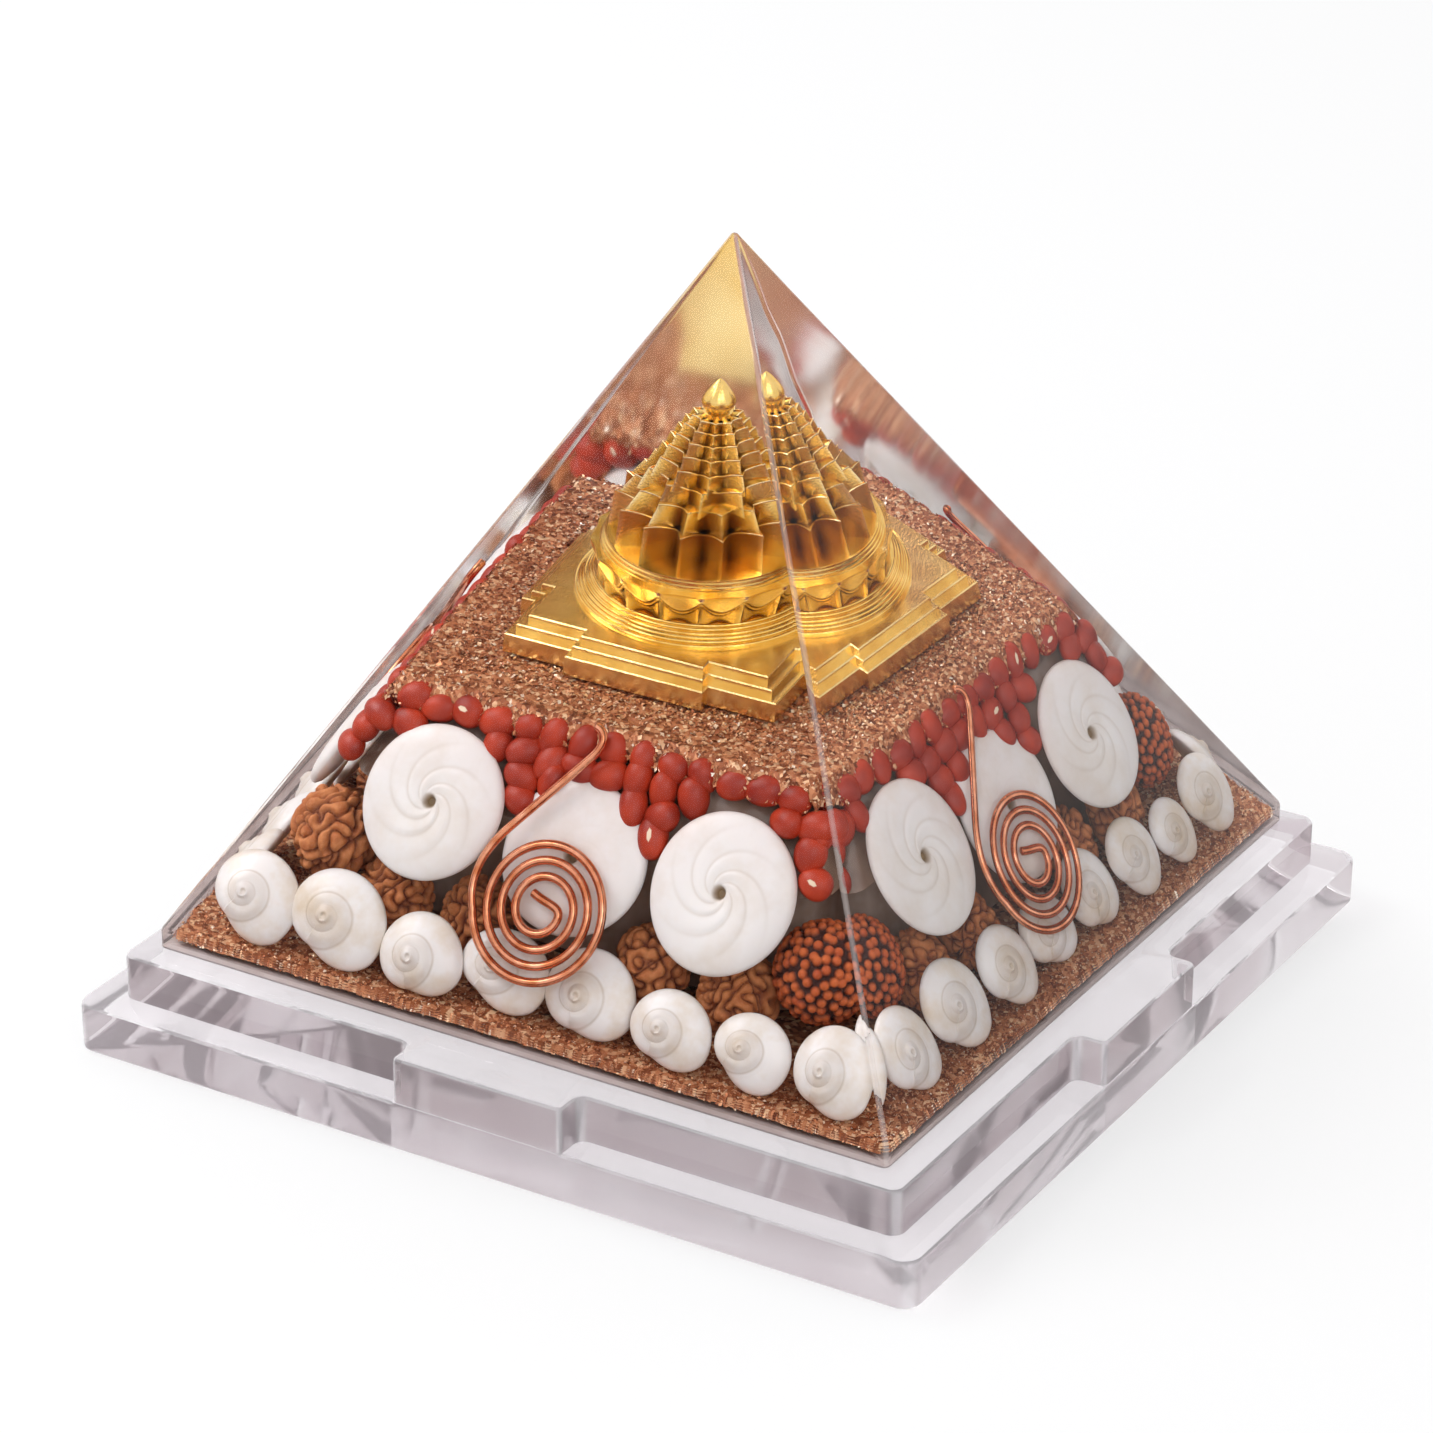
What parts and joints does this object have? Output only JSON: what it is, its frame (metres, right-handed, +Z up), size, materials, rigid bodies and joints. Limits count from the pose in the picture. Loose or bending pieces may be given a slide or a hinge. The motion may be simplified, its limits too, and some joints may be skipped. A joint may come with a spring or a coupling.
{
  "type": "yantra pyramid",
  "caption": "Clear cast pyramid on a stepped clear plinth, with a gilt Meru yantra inside on copper flake and bands of seeds, shell discs, rudraksha beads, snail shells and copper spirals",
  "frame": {"origin": "middle of the plinth's underside, on the surface it stands on", "axes": "+Z up; -Y the front face, +X the right face, as the picture shows them"},
  "size_m": [0.178, 0.178, 0.1501],
  "materials": {
    "clear_resin": "polished clear casting resin",
    "gilt": "gilt, satin with bright edges",
    "copper_flake": "copper flake and grit set in resin",
    "copper_wire": "bright drawn copper",
    "white_shell": "polished natural shell",
    "rudraksha": "deeply wrinkled dry seed stone",
    "red_seed": "smooth satin seed coat"
  },
  "bodies": {
    "root": {"copper_bed_lower": "copper_flake", "copper_bed_upper": "copper_flake", "copper_spiral_back": "copper_wire", "copper_spiral_front": "copper_wire", "copper_spiral_left": "copper_wire", "copper_spiral_right": "copper_wire", "core_casting": "clear_resin", "foot_casting": "clear_resin", "meru_yantra": "gilt", "plinth": "clear_resin", "pyramid_casting": "clear_resin", "rudraksha_back_1": "rudraksha", "rudraksha_back_2": "rudraksha", "rudraksha_back_3": "rudraksha", "rudraksha_back_4": "rudraksha", "rudraksha_corner_back": "rudraksha", "rudraksha_corner_front": "rudraksha", "rudraksha_corner_left": "rudraksha", "rudraksha_corner_right": "rudraksha", "rudraksha_front_1": "rudraksha", "rudraksha_front_2": "rudraksha", "rudraksha_front_3": "rudraksha", "rudraksha_front_4": "rudraksha", "rudraksha_left_1": "rudraksha", "rudraksha_left_2": "rudraksha", "rudraksha_left_3": "rudraksha", "rudraksha_left_4": "rudraksha", "rudraksha_right_1": "rudraksha", "rudraksha_right_2": "rudraksha", "rudraksha_right_3": "rudraksha", "rudraksha_right_4": "rudraksha", "seed_band_back": "red_seed", "seed_band_front": "red_seed", "seed_band_left": "red_seed", "seed_band_right": "red_seed", "shell_disc_back_1": "white_shell", "shell_disc_back_2": "white_shell", "shell_disc_back_3": "white_shell", "shell_disc_front_1": "white_shell", "shell_disc_front_2": "white_shell", "shell_disc_front_3": "white_shell", "shell_disc_left_1": "white_shell", "shell_disc_left_2": "white_shell", "shell_disc_left_3": "white_shell", "shell_disc_right_1": "white_shell", "shell_disc_right_2": "white_shell", "shell_disc_right_3": "white_shell", "snail_shells_back": "white_shell", "snail_shells_front": "white_shell", "snail_shells_left": "white_shell", "snail_shells_right": "white_shell"}
  },
  "joints": []
}
